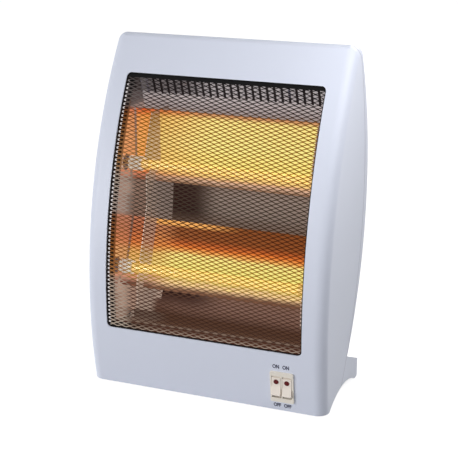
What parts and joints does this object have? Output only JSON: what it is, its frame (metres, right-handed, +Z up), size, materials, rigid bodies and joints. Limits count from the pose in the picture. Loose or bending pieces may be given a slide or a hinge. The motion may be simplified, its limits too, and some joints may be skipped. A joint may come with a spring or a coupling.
{
  "type": "halogen heater",
  "caption": "Leaning, bowed white radiant heater with a diamond mesh window over quartz tubes and troughs, a twin rocker switch and a carrying grip.",
  "frame": {"origin": "on the floor under the middle of the casing", "axes": "+X across the front to the right, +Y from front to back, +Z up"},
  "size_m": [0.262, 0.1432, 0.3617],
  "materials": {
    "casing_plastic": "satin cool white moulded plastic",
    "base_plastic": "plain moulded plastic",
    "foot_rubber": "matt rubber",
    "chrome_mesh": "bright plated steel mesh",
    "frame_paint": "dark heat-proof paint",
    "bright_sheet": "bright rolled sheet, warmed by the glow",
    "reflector_sheet": "polished reflector sheet",
    "support_sheet": "bright sheet steel",
    "quartz": "clear quartz",
    "coil_wire": "resistance wire, glowing",
    "ceramic": "unglazed white ceramic",
    "brass_tab": "plain brass",
    "spring_steel": "spring steel",
    "bezel_plastic": "satin cream plastic",
    "rocker_plastic": "glossy cream plastic",
    "lens_red": "deep red translucent plastic",
    "black_plastic": "black moulded plastic",
    "nylon": "natural nylon",
    "cutout_metal": "pressed aluminium cap",
    "lead_sleeve": "braided glass sleeve",
    "bush_plastic": "grey moulded plastic",
    "screw_steel": "plated steel"
  },
  "bodies": {
    "casing": {"front_shell": "casing_plastic", "rear_cover": "casing_plastic", "base_plate": "base_plastic", "rubber_feet": "foot_rubber", "grille": "chrome_mesh", "grille_frame": "frame_paint", "heat_shield": "bright_sheet", "side_wall_left": "bright_sheet", "side_wall_right": "bright_sheet", "baffle": "bright_sheet", "reflector_upper": "reflector_sheet", "reflector_lower": "reflector_sheet", "tube_support_left": "support_sheet", "tube_support_right": "support_sheet", "quartz_tube_upper": "quartz", "quartz_tube_lower": "quartz", "heating_coil_upper": "coil_wire", "heating_coil_lower": "coil_wire", "ceramic_ends": "ceramic", "element_terminals": "brass_tab", "tube_clips": "spring_steel", "switch_body": "bezel_plastic", "switch_terminals": "brass_tab", "tip_switch": "black_plastic", "tip_spring": "spring_steel", "thermal_cutout": "cutout_metal", "terminal_block": "ceramic", "wiring": "lead_sleeve", "cord_bush": "bush_plastic", "cover_screws": "screw_steel", "shield_screws": "screw_steel", "base_screws": "screw_steel"},
    "left_rocker": {"rocker_left": "rocker_plastic", "lens_left": "lens_red"},
    "right_rocker": {"rocker_right": "rocker_plastic", "lens_right": "lens_red"},
    "plunger": {"tip_plunger": "nylon"}
  },
  "joints": [
    {"name": "left_rocker_tip", "type": "hinge", "parent": "casing", "child": "left_rocker", "pos_m": [0.08075, -0.06284, 0.0299], "axis": [1, 0, 0], "range_deg": [0, 20]},
    {"name": "right_rocker_tip", "type": "hinge", "parent": "casing", "child": "right_rocker", "pos_m": [0.09205, -0.06284, 0.0299], "axis": [1, 0, 0], "range_deg": [0, 20]},
    {"name": "plunger_drop", "type": "slide", "parent": "casing", "child": "plunger", "axis": [0, 0, -1], "range_m": [0, 0.005], "stiffness_N_per_m": 80, "springref_m": 0.01, "deforming": ["tip_spring"]}
  ]
}
